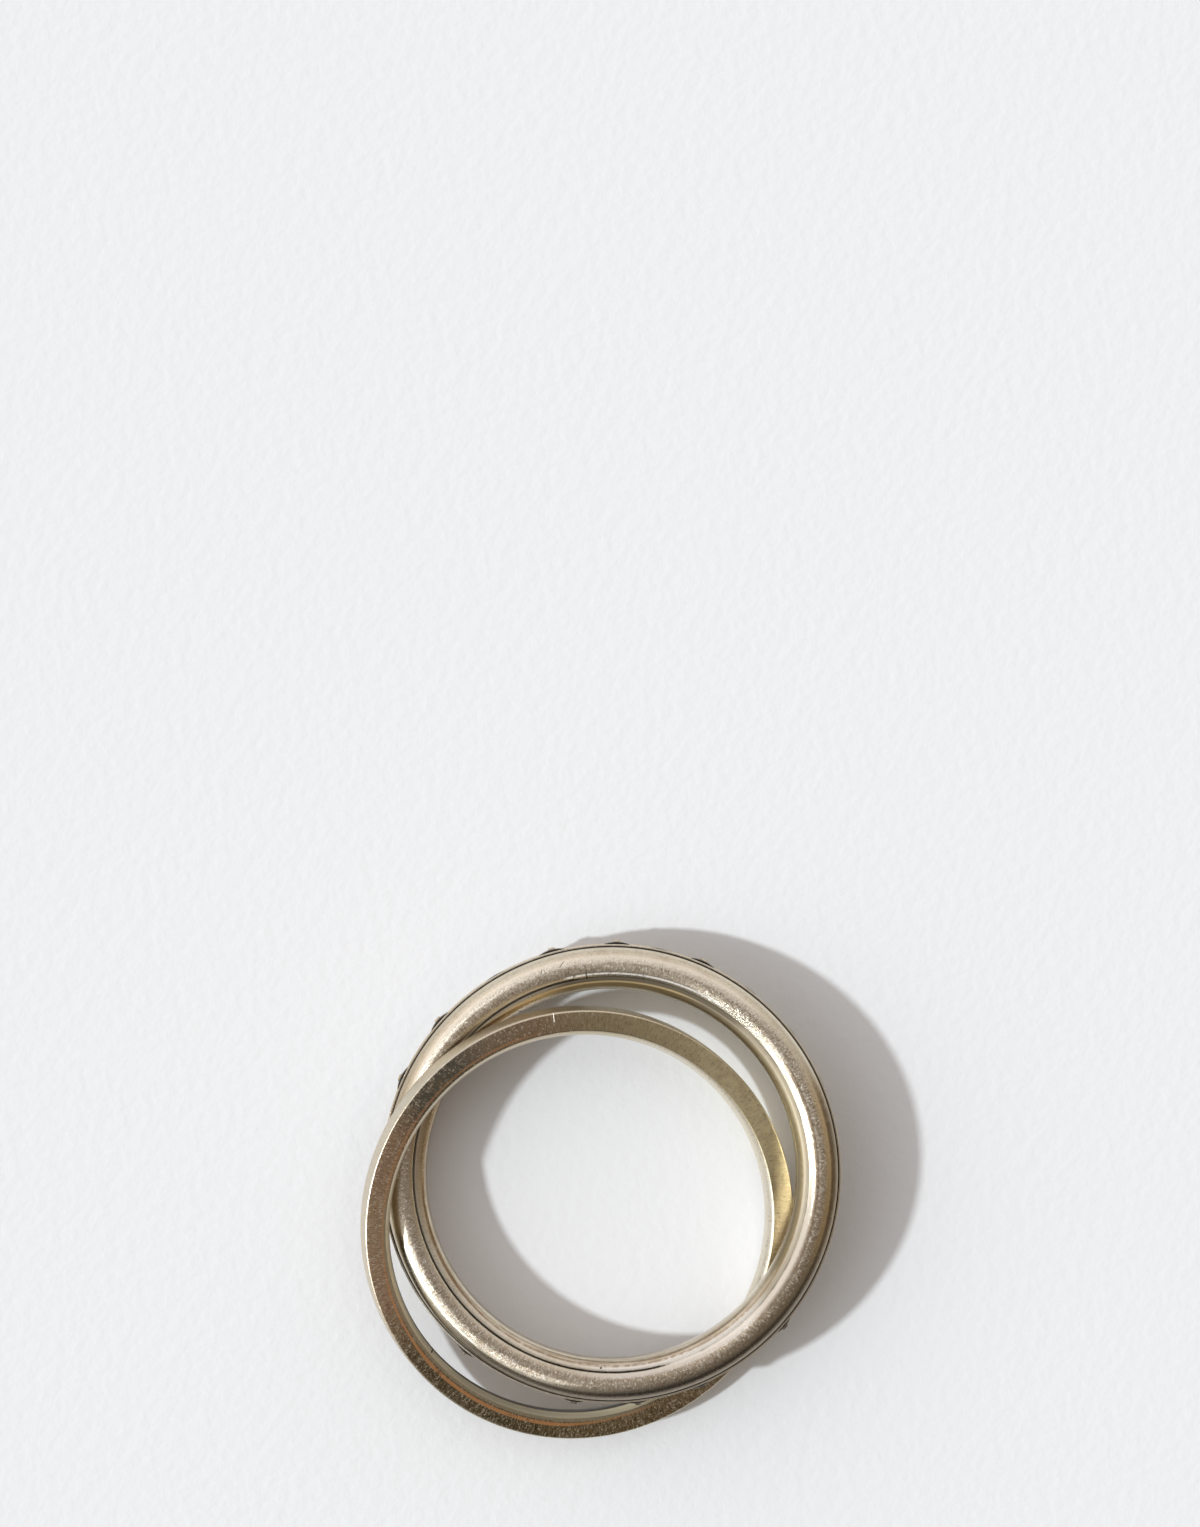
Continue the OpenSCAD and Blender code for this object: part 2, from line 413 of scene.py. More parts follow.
# %% A graph of nodes
class Graph:
    """The node graph of a material or of the world."""

    def __init__(self, owner):
        owner.use_nodes = True
        self.owner = owner
        self.tree = owner.node_tree
        self.tree.nodes.clear()

    def node(self, kind, settings=None, inputs=None, output=0):
        """Adds a node: its settings first, then the values or links of its sockets."""
        made = self.tree.nodes.new("ShaderNode" + kind)
        for name, value in (settings or {}).items():
            if name == "stops":
                self.set_stops(made.color_ramp, value)
            else:
                setattr(made, name, value)
        for key, value in (inputs or {}).items():
            if isinstance(value, Wire):
                self.tree.links.new(value.socket, made.inputs[key])
            else:
                made.inputs[key].default_value = value
        return Wire(self, made.outputs[output]) if made.outputs else None

    def maths(self, operation, *inputs):
        """Adds a Math node and returns its result."""
        return self.node("Math", {"operation": operation}, dict(enumerate(inputs)))

    def set_stops(self, ramp, stops):
        """Gives a colour ramp its stops, each a place and a colour."""
        while len(ramp.elements) > 1:
            ramp.elements.remove(ramp.elements[-1])
        for i, (place, colour) in enumerate(stops):
            stop = ramp.elements[0] if i == 0 else ramp.elements.new(place)
            stop.position = place
            stop.color = (*colour, 1)

    def rise(self, value, start, end):
        """A smooth step from 0 at start to 1 at end."""
        return self.node("MapRange", {"interpolation_type": "SMOOTHSTEP"},
                         {"Value": value, "From Min": start, "From Max": end})

    def blend(self, mask, first, second):
        """A colour mixed from two by a mask."""
        return self.node("Mix", {"data_type": "RGBA"}, {0: mask, 6: first, 7: second}, output=2)

    def clamped(self, value):
        """A value cut off below 0 and above 1."""
        return self.node("Clamp", None, {0: value})


def rgb(red, green, blue):
    """A colour socket's value."""
    return (red, green, blue, 1)


print("a graph's methods:", [name for name in vars(Graph) if not name.startswith("_")])

# %% [markdown]
# Wear and dirt sit at known places on a ring, such as the seam, the crest of a rim
# or one side of the band. So each finish starts from the ring's own coordinates,
# worked out from the upright place of each point: how far from the axis, how high,
# and the angle round the ring, with the photo's turn added once for all. Masks on
# these are soft steps, belts of radius and sectors of angle. A painted image could
# do the same, but it blurs when it is seen close, and a mask doesn't.

# %% Ring coordinates and soft masks
BUMP_STRENGTH = 0.5
MEAN_R = 10  # Way round the ring is measured at this radius, in millimetres


class RingFinish(Graph):
    """A silver material in a ring's own coordinates, all in millimetres."""

    def __init__(self, name):
        super().__init__(bpy.data.materials.new(name))
        self.spot = self.node("Attribute", {"attribute_name": UPRIGHT}, output="Vector")
        parts = [self.node("SeparateXYZ", None, {0: self.spot}, output=i) for i in range(3)]
        self.height = parts[2]
        self.out = (parts[0] * parts[0] + parts[1] * parts[1]) ** 0.5
        self.turn = self.maths("ARCTAN2", parts[1], parts[0])
        whole_turns = self.turn / (2 * math.pi) + (PHOTO_TURN / 360 + 1)
        self.part = self.maths("FRACT", whole_turns)

    def belt(self, value, low, high, soft):
        """1 between low and high, fading to 0 over a soft border outside them."""
        return self.rise(value, low - soft, low) * (1 - self.rise(value, high, high + soft))

    def past(self, clock):
        """How far round the ring a point lies past an angle of the photo, -180 to 180 degrees."""
        return self.maths("WRAP", self.part * 360 - clock, 180, -180)

    def sector(self, start, end, soft):
        """1 between two angles of the photo, fading to 0 over a soft border outside them."""
        half = (end - start) / 2
        return 1 - self.rise(abs(self.past(start + half)), half, half + soft)

    def round_ramp(self, stops):
        """A colour that changes round the ring; each stop is an angle of the photo and a colour."""
        return self.node("ValToRGB", {"stops": [(clock / 360, colour) for clock, colour in stops]},
                         {0: self.part})

    def mark(self, clock, r0, r1, width, slant=0):
        """A short thin stroke from radius r0 to r1, at an angle of the photo."""
        middle = (r0 + r1) / 2
        across = self.past(clock) * math.radians(middle) - (self.out - middle) * slant
        return (1 - self.rise(abs(across), width / 2, width)) * self.belt(self.out, r0, r1, width)

    def noise(self, scale, detail, rough, at=None):
        """Cloudy noise from 0 to 1, its scale in features per millimetre."""
        return self.node("TexNoise", None, {"Vector": at or self.spot, "Scale": scale,
                                            "Detail": detail, "Roughness": rough})

    def stretched(self, round_scale, out_scale, high_scale):
        """Coordinates that noise can be drawn out along, for brushed metal."""
        scaled = (self.turn * (MEAN_R * round_scale), self.out * out_scale, self.height * high_scale)
        return self.node("CombineXYZ", None, dict(enumerate(scaled)))

    def finish(self, colour, roughness, bump_height, metallic):
        """Closes the graph with its shader and returns the material."""
        bump = self.node("Bump", None, {"Strength": BUMP_STRENGTH, "Distance": MM, "Height": bump_height})
        shader = self.node("BsdfPrincipled", None, {"Base Color": colour, "Roughness": roughness,
                                                    "Metallic": metallic, "Normal": bump})
        self.node("OutputMaterial", None, {"Surface": shader})
        print(self.owner.name, len(self.tree.nodes), "nodes")
        return self.owner


print("a ring's +X lies at", PHOTO_TURN, "degrees of the photo")

# %% [markdown]
# The main ring's silver is satin rather than mirror bright: years of wear leave fine
# random scratches that catch the light as grain. Two noises make them, one drawn out
# into hairs and one even. Where their sum is low a scratch is dark, and where it is
# high it shines. Two softer noises, clouds and smears, break up the larger masks, so
# that no stain ends in a ruled line. All that follows shares these patterns, so they
# are made once, with the masks that also change how rough or how metallic it is.

# %% The patterns of worn silver
HAIRS, RING_LINES = (12, 7, 7), (0.35, 13, 13)
CREST_HALF_W, CREST_SOFT = 0.2, 0.3
SMOOTH_STREAK = ((322, 386, 12), (9.95, 10.34, 0.12))
DULL_SLEEVE = ((325, 462, 14), (9.4, sleeve_r, 0.05))


class AntiquedSilver(RingFinish):
    """The main ring's finish, with its shared patterns and masks."""

    def __init__(self):
        super().__init__("antiqued_silver")
        self.high = abs(self.height)
        self.on_top = self.rise(self.height, 0.2, 0.4)
        self.hair = self.noise(1, 3, 0.7, self.stretched(*HAIRS))
        self.grain = self.noise(16, 3, 0.75)
        self.clouds = self.noise(0.7, 4, 0.55)
        self.smears = self.noise(4, 4, 0.6)
        scratches = self.hair * 0.55 + self.grain * 0.45
        self.dark_hair = 1 - self.rise(scratches, 0.44, 0.48)
        self.light_hair = self.rise(scratches, 0.55, 0.58)
        near_crest = self.belt(self.out, rim_crest - CREST_HALF_W, rim_crest + CREST_HALF_W, CREST_SOFT)
        self.crest = near_crest * (0.7 + 0.3 * self.rise(self.smears, 0.4, 0.6))
        self.streak = self.zone(*SMOOTH_STREAK)
        self.dull = self.zone(*DULL_SLEEVE)
        self.beige = self.sector(80, 128, 8) * (1 - self.rise(self.out, 9.39, 9.44)) * self.on_top

    def zone(self, angles, radii):
        """1 in a sector and a belt of the upper side, each given with its soft border."""
        return self.sector(*angles) * self.belt(self.out, *radii) * self.on_top

    def tinted(self, colour, zones):
        """Blends each zone of a table into a colour, in the table's order."""
        for angles, radii, strength, tone in zones:
            colour = self.blend(self.zone(angles, radii) * strength, colour, tone)
        return colour


print("the crest of a rim lies", round(rim_crest, 2), "mm from the axis")

# %% [markdown]
# The crest of a rim is touched most, and it is what the eye sees first. Its tone changes slowly round the
# ring, partly because tarnish is thicker in some stretches, and partly as painted shade and reflection:
# it is darker on the left, where the plain ring lies over it. One colour ramp that runs round the ring
# gives that, and a reader can set each stop beside the photo. Scratches are dense along the crest, so
# dark and bright hairs are
# both blended in there, and much less beside it.

# %% The tones along the crest
# The dark stop at 165 is painted shade and reflection of the plain ring lying over the crest.
CREST_TONES = ((0, (0.66, 0.58, 0.43)), (35, (0.74, 0.67, 0.53)), (75, (0.72, 0.64, 0.50)),
               (120, (0.74, 0.67, 0.53)), (165, (0.52, 0.42, 0.29)), (205, (0.72, 0.66, 0.54)),
               (250, (0.72, 0.65, 0.52)), (300, (0.66, 0.58, 0.45)), (330, (0.60, 0.52, 0.39)),
               (360, (0.66, 0.58, 0.43)))
TARNISH = rgb(0.36, 0.27, 0.15)
BROWN = rgb(0.30, 0.21, 0.13)
SHINE = rgb(1, 0.97, 0.90)


def crest_tones(m):
    """The ring's base colour, with the wear that is densest along the crests."""
    colour = m.round_ramp(CREST_TONES)
    worn = m.rise(m.clouds * 0.5 + m.smears * 0.5, 0.46, 0.66)
    colour = m.blend(worn * 0.28, colour, TARNISH)
    colour = m.blend(m.crest * (0.24 + 0.16 * m.sector(215, 345, 25)), colour, BROWN)
    colour = m.blend((m.crest * 0.7 + 0.14) * m.dark_hair, colour, BROWN)
    return m.blend((m.crest * 0.75 + 0.08) * m.light_hair, colour, SHINE)


print(len(CREST_TONES), "tones round the crest")

# %% [markdown]
# Beside the crest each stretch has a tone of its own, and most of these are painted light and shade. The
# sleeve's end and the rim's inner edge at the bottom right are polished pale, and the pale is also a
# painted reflection of the bright surround. From the right round to the top the sleeve's end is grey,
# painted shade that dims the lamp's highlight, and at the top its outer part is near-black, a painted
# reflection of the dim surround. The rim's upper flank at the top is pale, a painted reflection of the
# bright surround, and its inner slope at the bottom left is brown. Each could be a statement, but a table
# is easier to read. A row is one zone: its angles and its radii, each as from, to and the width of the
# soft border, then its strength and its colour. Rows are blended in their order, so a later one lies on
# top.

# %% Tones of the slopes beside the crest
CREAM = rgb(0.92, 0.88, 0.80)
PAINTED_SHADE_GREY = rgb(0.27, 0.22, 0.15)
PAINTED_DARK_REFLECTION = rgb(0.12, 0.095, 0.06)
PAINTED_BRIGHT_REFLECTION = rgb(0.95, 0.87, 0.73)
# Rows: polished pale that is also a painted reflection, grey painted shade, and a near-black painted
# reflection.
INNER_ZONES = (((272, 350, 16), (9.7, 10.2, 0.12), 0.55, CREAM),
               ((325, 464, 14), (9.62, 9.9, 0.04), 0.85, PAINTED_SHADE_GREY),
               ((54, 102, 8), (9.72, 9.9, 0.05), 0.75, PAINTED_DARK_REFLECTION))
# The first row is a painted reflection of the bright surround on the upper flank.
RIM_ZONES = (((55, 150, 15), (10.66, 10.95, 0.1), 0.5, PAINTED_BRIGHT_REFLECTION),
             ((190, 290, 25), (10.1, 10.4, 0.12), 0.22, BROWN))


def slopes(m, colour):
    """The end of the sleeve, and the slopes of the rim on either side of its crest."""
    colour = m.tinted(colour, INNER_ZONES)
    # Painted shade: the smooth streak is browned beside the lamp's highlight, so that the highlight stays
    # one thin line.
    colour = m.blend(m.streak * (0.3 + 0.3 * m.rise(m.out, 10.12, 10.26)), colour, BROWN)
    return m.tinted(colour, RIM_ZONES)


print(len(INNER_ZONES) + len(RIM_ZONES), "zones beside the crest")

# %% [markdown]
# The sleeve's wall is rubbed by the finger. A thin brown line wanders in and out once round the ring, a
# painted reflection of the horizon. A cosine of the angle moves the line, and noise breaks it. Fine brown
# speckle lies on the photo's left. At its top the wall is painted beige, as painted light, and gold, a
# painted reflection of the paper, and from its right round to the top it is olive, painted shade
# reflected from the dim gap beside it.

# %% Tones of the sleeve's wall
PAINTED_LIGHT_BEIGE = rgb(0.90, 0.80, 0.64)
PAINTED_GOLD_REFLECTION = rgb(0.72, 0.55, 0.30)
OLIVE = rgb(0.17, 0.125, 0.055)
# The gold stretch is a painted reflection of the paper, and the olive one is painted shade.
GOLD_STRETCH = ((72, 140, 12), (9.48, 9.68, 0.05))
OLIVE_STRETCH = ((335, 462, 15), (9.27, 9.6, 0.04))
LINE_R, LINE_SWING, LINE_OUTMOST, LINE_HALF_W = 9.5, 0.15, 290, 0.03


def painted_horizon_line(m):
    """The mask of the brown line, a painted reflection of the horizon, that wanders round the sleeve."""
    round_it = (m.part * 360 - LINE_OUTMOST) * (math.pi / 180)
    line_at = LINE_R + LINE_SWING * m.maths("COSINE", round_it)
    line = m.belt(m.out - line_at, -LINE_HALF_W, LINE_HALF_W, 0.06) * m.rise(m.height, 0.3, 0.6)
    return line * m.rise(m.clouds * 0.4 + m.smears * 0.6, 0.36, 0.52)


def sleeve_wall(m, colour):
    """The sleeve's wall: painted beige light, a painted gold reflection, the painted horizon line,
    speckle and painted olive shade.
    """
    colour = m.blend(m.beige * (0.9 - m.dark_hair * 0.4), colour, PAINTED_LIGHT_BEIGE)
    colour = m.blend(m.zone(*GOLD_STRETCH) * 0.8, colour, PAINTED_GOLD_REFLECTION)
    lines = m.noise(1, 3, 0.6, m.stretched(*RING_LINES))
    speckle = m.sector(150, 290, 25) * (1 - m.rise(m.out, 9.56, 9.68)) * m.rise(lines, 0.46, 0.56)
    colour = m.blend(m.clamped(painted_horizon_line(m) * 0.6 + speckle * 0.6), colour, BROWN)
    return m.blend(m.zone(*OLIVE_STRETCH) * 0.8, colour, OLIVE)


print("the brown line lies", LINE_R - LINE_SWING, "to", LINE_R + LINE_SWING, "mm from the axis")

# %% [markdown]
# The rim's outer flank is painted gold on the photo's right, as a reflection, with a dark stain along its
# foot. From the bottom round to the right, the flank's outer part on the upper side beside the relief
# band is painted dusky, as painted shade for the shadowed paper that it mirrors. The stain is broken by
# the grain, like dirt that sits between scratches.

# %% Tones of the outer flank
PAINTED_SHADE_DUSK = rgb(0.16, 0.13, 0.10)
GOLD_FLANK = ((345, 378, 12), (10.8, 11.34, 0.12))


def outer_flank(m, colour):
    """The flank between the crest and the relief band."""
    # Painted reflection: the gold on the flank at the right.
    colour = m.blend(m.zone(*GOLD_FLANK) * 0.55, colour, PAINTED_GOLD_REFLECTION)
    stain = m.sector(350, 380, 6) * m.belt(m.out, 11.05, 11.22, 0.1)
    stain = stain * m.rise(m.smears * 0.5 + m.grain * 0.5, 0.42, 0.55)
    colour = m.blend(stain * 0.75, colour, BROWN)
    # Painted shade: the flank's outer part on the upper side is dusky, from the bottom round to the
    # right.
    shade = m.sector(238, 372, 22) * m.belt(m.out, 11.08, 11.3, 0.12) * m.rise(m.height, 0.5, 0.7)
    return m.blend(shade * 0.72, colour, PAINTED_SHADE_DUSK)


print("the flank ends", round(rim_r1, 2), "mm from the axis")

# %% [markdown]
# A few nicks, cuts and pits show in the photo. They are far finer than the mesh, so
# they are strokes in the material, dark and slightly sunk. A row is one stroke: its
# angle, the radii that it runs between, its width and its slant.

# %% Nicks, cuts and pits
STROKES = ((81, 9.9, 10.2, 0.03), (97.3, 9.9, 10.22, 0.05), (101, 9.95, 10.2, 0.03),
           (103.6, 10.68, 10.92, 0.03, -1.1), (109.3, 10.62, 10.82, 0.03, -0.6),
           (108.4, 10.68, 10.8, 0.03, 0.2), (119.5, 9.32, 9.36, 0.06), (267, 9.7, 9.76, 0.07))


def strokes(m):
    """The mask of all the strokes, on the upper side alone."""
    return m.clamped(sum(m.mark(*stroke) for stroke in STROKES) * m.rise(m.height, 0.6, 0.8))


print(len(STROKES), "strokes")

# %% [markdown]
# The seams, the steps under the rims and the ground between the leaves are blackened
# with patina, because it stays where no finger rubs. On the rubbed side the seam
# keeps only a faint trace. The tops of the leaves are rubbed back to silver near the
# middle of the band. Each is a mask on the section, and noise keeps its edge uneven.

# %% The patina
PATINA = rgb(0.03, 0.026, 0.022)
LIP = 0.005  # How far the black of a seam reaches past its lips


def black_seam(m):
    """The seam's mask: broken at the photo's bottom, and faint on the rubbed side."""
    seam = m.belt(m.out, sleeve_r - LIP, rim_r0 + LIP, 0.02) * m.rise(m.high, 0.6, 0.9)
    seam = seam * (1 - 0.6 * m.sector(245, 290, 10) * m.rise(m.smears, 0.4, 0.5))
    rubbed_side = m.sector(RUBBED_FROM + 4, RUBBED_TO - 4, 6) * m.on_top
    return seam * (1 - rubbed_side * (0.85 - 0.3 * m.rise(m.clouds, 0.5, 0.6)))


def black_step(m):
    """The step under each rim, as far as the band's edge line."""
    step = m.rise(m.out, rim_r1 - 0.03, rim_r1 - 0.005) * (1 - m.rise(m.high, 0.92, 1.06))
    step = step * (1 - m.rise(m.out, rim_r1 + 0.01, band_r - 0.03))
    return step * (0.7 + 0.3 * m.rise(m.smears, 0.4, 0.5))


def black_ground(m):
    """The ground between the edge lines, and all but the rubbed tops of the leaves."""
    ground = m.rise(m.out, ground_r - 0.01, ground_r)
    ground = ground * (1 - m.rise(m.high, ground_half_h - 0.02, ground_half_h))
    leaf_top = m.rise(m.out + m.grain * 0.12, ground_r + 0.13, ground_r + 0.31)
    return ground * (1 - leaf_top * (1 - m.rise(m.high, 0.16, 0.4)) * 0.85)


def patina(m, marks):
    """How black each point is, from 0 to 1."""
    under = m.rise(m.out, rim_r1, rim_r1 + 0.01) * (1 - m.rise(m.out, ground_r - 0.02, ground_r + 0.02))
    return m.clamped(black_seam(m) + black_step(m) + black_ground(m) + under + marks * 0.8)


print("the ground lies", round(band_r - ground_r, 2), "mm below the edge lines")

# %% [markdown]
# Now the parts are put together. Patina and the dull stretch of the sleeve are rough,
# and the streak on the photo's right is smooth, so the lamp shows there as one hard
# line. The bump comes from the same noises as the colour, so that a scratch that
# looks dark is also a dent. It is stronger in two stretches of the slopes, where the
# photo shows single glints. Its heights are centred on 0, so that a stronger bump
# doesn't lift the surface. The rubbed edge of the seam and the beige wall are paler
# than a mirror of the dim sky could be, so they aren't fully metallic.

# %% The antiqued finish
GLINTS = (((218, 252, 16), (10.66, 10.95, 0.08)), ((38, 60, 10), (10.0, 10.25, 0.06)))


def rubbed_edge_and_highlight(m):
    """The pale edge of metal rubbed over the seam at the photo's top, painted pale also as its highlight
    line.
    """
    edge = m.sector(58, 102, 3) * m.belt(m.out, 10.04, 10.1, 0.03) * m.rise(m.height, 1.1, 1.2)
    return edge * m.rise(m.hair, 0.32, 0.46)


def scratch_bump(m):
    """Height of the scratches, in mm: deeper on the crest and where the glints are."""
    hair, grain = m.hair - 0.5, m.grain - 0.5
    bump = hair * (0.014 + m.crest * 0.03) + grain * (0.012 + m.crest * 0.02)
    glints = sum(m.sector(*angles) * m.belt(m.out, *radii) for angles, radii in GLINTS)
    return bump * (1 - m.streak * 0.6) + glints * (hair * 0.03 + grain * 0.03) + m.smears * 0.008


def antiqued_silver():
    """The whole finish of the main ring."""
    m = AntiquedSilver()
    colour = outer_flank(m, sleeve_wall(m, slopes(m, crest_tones(m))))
    edge, marks = rubbed_edge_and_highlight(m), strokes(m)
    dark = patina(m, marks)
    # Partly painted highlight: the rubbed edge is painted cream as a bright line.
    colour = m.blend(edge, colour, CREAM)
    colour = m.blend(dark, colour, PATINA)
    roughness = 0.15 + m.grain * 0.07 + m.smears * 0.05 + dark * 0.3 + m.light_hair * 0.05 + m.dull * 0.32
    roughness = roughness - m.streak * 0.06 - m.light_hair * m.crest * 0.05
    bump = scratch_bump(m) - marks * 0.02
    return m.finish(colour, roughness, bump, 1 - edge * 0.7 - m.beige * 0.7)


antiqued = antiqued_silver()
for piece in (main_body, main_band):
    piece.data.materials.append(antiqued)

# %% [markdown]
# The plain ring's flat faces were brushed from the hole to the outside, so their
# scratches run straight out from the middle. Noise does this when its coordinates
# are squeezed one way: many features round the ring, few across it. The faces are
# tarnished, while the walls and the worn edges are bare metal, so one mask tells
# them apart by height.

# %% The patterns of brushed silver
BRUSHED, FINE_BRUSHED = (14, 3, 3), (34, 4, 4)


class BrushedSilver(RingFinish):
    """The plain ring's finish, with its shared patterns and masks."""

    def __init__(self):
        super().__init__("brushed_silver")
        self.brush = self.noise(1, 3, 0.7, self.stretched(*BRUSHED))
        self.fine = self.noise(1, 2, 0.6, self.stretched(*FINE_BRUSHED))
        self.grain = self.noise(14, 4, 0.72)
        self.mottle = self.noise(0.9, 4, 0.55) * 0.5 + self.noise(3, 4, 0.6) * 0.5
        scratches = self.brush * 0.55 + self.grain * 0.45
        self.specks = self.rise(scratches, 0.555, 0.585)
        self.dark_specks = 1 - self.rise(scratches, 0.42, 0.47)
        self.face = self.rise(abs(self.height), PLAIN_HALF_H - 0.04, PLAIN_HALF_H - 0.01)
        self.bare = 1 - self.face


print("the plain ring's faces are", PLAIN_T, "mm wide")

# %% [markdown]
# Its tone changes round the ring, from gold on the photo's right to brown on the left and a dark olive at
# the bottom. This is partly tarnish and partly painted reflection: the near-black patch at the upper left
# is a painted dark reflection, the right is painted darker where the main ring's reflection falls on it,
# and the bright gold just above it is a painted reflection too. As on the crest, a ramp that runs round
# the ring holds these tones. Bright specks are single scratches that catch the light; they are denser at
# the bottom and towards the outside.

# %% Tones of the flat faces
# Painted reflection: the dark stops at 130 and 143, the darker ones at 0 and 11, and the bright gold from
# 21 to 45.
FACE_TONES = ((0, (0.34, 0.29, 0.19)), (11, (0.42, 0.36, 0.23)), (21, (0.98, 0.88, 0.55)),
              (45, (0.98, 0.88, 0.56)), (62, (0.74, 0.65, 0.41)), (85, (0.52, 0.44, 0.27)),
              (105, (0.42, 0.30, 0.20)), (118, (0.36, 0.28, 0.20)), (130, (0.17, 0.16, 0.13)),
              (143, (0.19, 0.17, 0.13)), (153, (0.48, 0.32, 0.20)), (178, (0.64, 0.45, 0.29)),
              (200, (0.64, 0.43, 0.28)), (218, (0.23, 0.175, 0.10)), (245, (0.165, 0.135, 0.07)),
              (268, (0.25, 0.19, 0.09)), (300, (0.30, 0.22, 0.125)), (330, (0.45, 0.36, 0.22)),
              (360, (0.34, 0.29, 0.19)))
COPPERY = rgb(0.50, 0.38, 0.24)
WARM_SILVER = rgb(0.95, 0.87, 0.70)


def face_tones(m):
    """The faces, tarnished and partly painted with reflections, with bright and dark specks and a few
    larger flecks.
    """
    colour = m.round_ramp(FACE_TONES)
    colour = m.blend(m.rise(m.mottle, 0.42, 0.62) * 0.35, colour, COPPERY)
    bright = 0.22 + m.sector(150, 300, 20) * 0.5 + 0.35 * m.rise(m.out, 10.45, 10.85)
    colour = m.blend(m.specks * bright, colour, WARM_SILVER)
    colour = m.blend(m.dark_specks * (0.3 + m.sector(212, 300, 15) * 0.4), colour, PATINA)
    flecks = m.rise(m.noise(9, 3, 0.6), 0.60, 0.64) * m.sector(100, 300, 20)
    return m.blend(flecks * 0.7, colour, WARM_SILVER)


print(len(FACE_TONES), "tones round the faces")

# %% [markdown]
# Along the inner edge of the face, the photo shows a pale rim on the left and at the bottom, and beyond
# it an orange line that is widest at the bottom. Both are painted reflections of a rounded bevel that the
# flat mesh doesn't have. Both follow the edge, so they are belts of radius whose place changes with the
# angle.

# %% The inner rim of the face
ORANGE = rgb(0.95, 0.50, 0.23)
PALE_OLIVE = rgb(0.55, 0.49, 0.34)
FACE_R = plain_bore + 0.36  # The flat face starts here, past the eased edge
PALE_END, PALE_GONE = FACE_R + 0.08, FACE_R + 0.16


def inner_rim(m, colour):
    """The pale rim and the orange line beyond it, painted reflections of a rounded bevel."""
    # Painted reflection of a rounded bevel: the pale rim, and below it the orange line.
    pale = m.sector(175, 285, 12) * (1 - m.rise(m.out, PALE_END, PALE_GONE))
    colour = m.blend(pale * m.face * 0.75, colour, PALE_OLIVE)
    starts = PALE_END + 0.12 * m.sector(205, 265, 25)
    ends = starts + 0.06 + 0.07 * m.sector(222, 262, 12)
    orange = m.rise(m.out - starts, -0.05, 0) * (1 - m.rise(m.out - ends, 0, 0.05))
    orange = orange * m.sector(112, 285, 14) * (0.5 + 0.5 * m.sector(205, 265, 20)) * m.face
    return m.blend(orange * m.rise(m.mottle, 0.25, 0.45) * 0.85, colour, ORANGE)


print("the pale rim runs from", round(FACE_R, 2), "to", round(PALE_GONE, 2), "mm out")

# %% [markdown]
# The walls are bare silver. The inner one is painted pale on the photo's right, where it faces the lamp,
# as a painted highlight. At the bottom it is matt and painted a light straw tone, as painted light, and
# it is blackened along its middle. The outer edge of each face is worn bright.

# %% Walls and worn edges
SILVER = rgb(0.70, 0.62, 0.47)
PAINTED_LIGHT_STRAW = rgb(0.82, 0.73, 0.53)
WORN_W = 0.12
INNER_WALL = (10.2, 10.3)  # The inner wall lies within these radii, the outer one past them


def walls(m, colour, inner, matt):
    """Bare walls, with the painted light and the blackened band of the inner one, and the worn outer
    edges.
    """
    colour = m.blend(m.bare * 0.8, colour, SILVER)
    # Painted light: the matt stretch at the bottom of the inner wall is a light straw tone.
    colour = m.blend(matt * 0.9, colour, PAINTED_LIGHT_STRAW)
    # Painted highlight: the inner wall is pale on the right, where it faces the lamp.
    pale = m.sector(345, 425, 20) * inner
    colour = m.blend(pale * (0.5 - m.dark_specks * 0.4), colour, CREAM)
    throat = m.sector(188, 290, 8) * m.bare * (1 - m.rise(m.out, 9.68, 9.7))
    throat = throat * m.rise(m.height, -0.3, -0.1) * (1 - m.rise(m.height, 0.3, 0.4))
    colour = m.blend(throat * 0.9, colour, PATINA)
    worn_edge = m.rise(m.out, plain_r - WORN_W, plain_r - 0.04) * m.face
    return m.blend(worn_edge * 0.6, colour, WARM_SILVER)


print("the faces are worn bright from", round(plain_r - WORN_W, 2), "mm out")

# %% [markdown]
# Two marks show in the photo: a bright burr across the face at the top, and a dark
# tick on the inner edge. With them the finish is complete. The burr and the matt
# wall aren't fully metallic, as they would mirror a dim sky.

# %% The brushed finish
BURR, TICK = (98.2, 10.5, 10.95, 0.025), (220.5, 9.6, 9.8, 0.05)


def brushed_silver():
    """The whole finish of the plain ring."""
    m = BrushedSilver()
    inner = m.bare * (1 - m.rise(m.out, *INNER_WALL))
    # This mask also places the painted light at the bottom of the inner wall.
    matt = m.sector(175, 285, 15) * inner * m.rise(m.height, 0.1, 0.4)
    colour = walls(m, inner_rim(m, face_tones(m)), inner, matt)
    burr = m.mark(*BURR) * m.rise(m.height, 0.5, 0.6)
    tick = m.mark(*TICK) * m.rise(m.height, 0.2, 0.3)
    colour = m.blend(burr, colour, CREAM)
    colour = m.blend(tick, colour, PATINA)
    roughness = 0.2 + m.brush * 0.12 + m.grain * 0.08
    bump = m.brush * 0.024 + m.fine * 0.008 + m.grain * 0.02 + burr * 0.03
    return m.finish(colour, roughness, bump, 1 - burr * 0.7 - matt * 0.6)


plain_body.data.materials.append(brushed_silver())

# %% [markdown]
# The rings lie on plain white paper. A wide sheet is enough, and its faint grain is bump, since real
# fibres would cost millions of faces. It isn't part of the object.

# %% The floor
FLOOR_SIDE = 1.2
FIBRES_PER_M, FIBRE_HEIGHT = 1600, 0.07


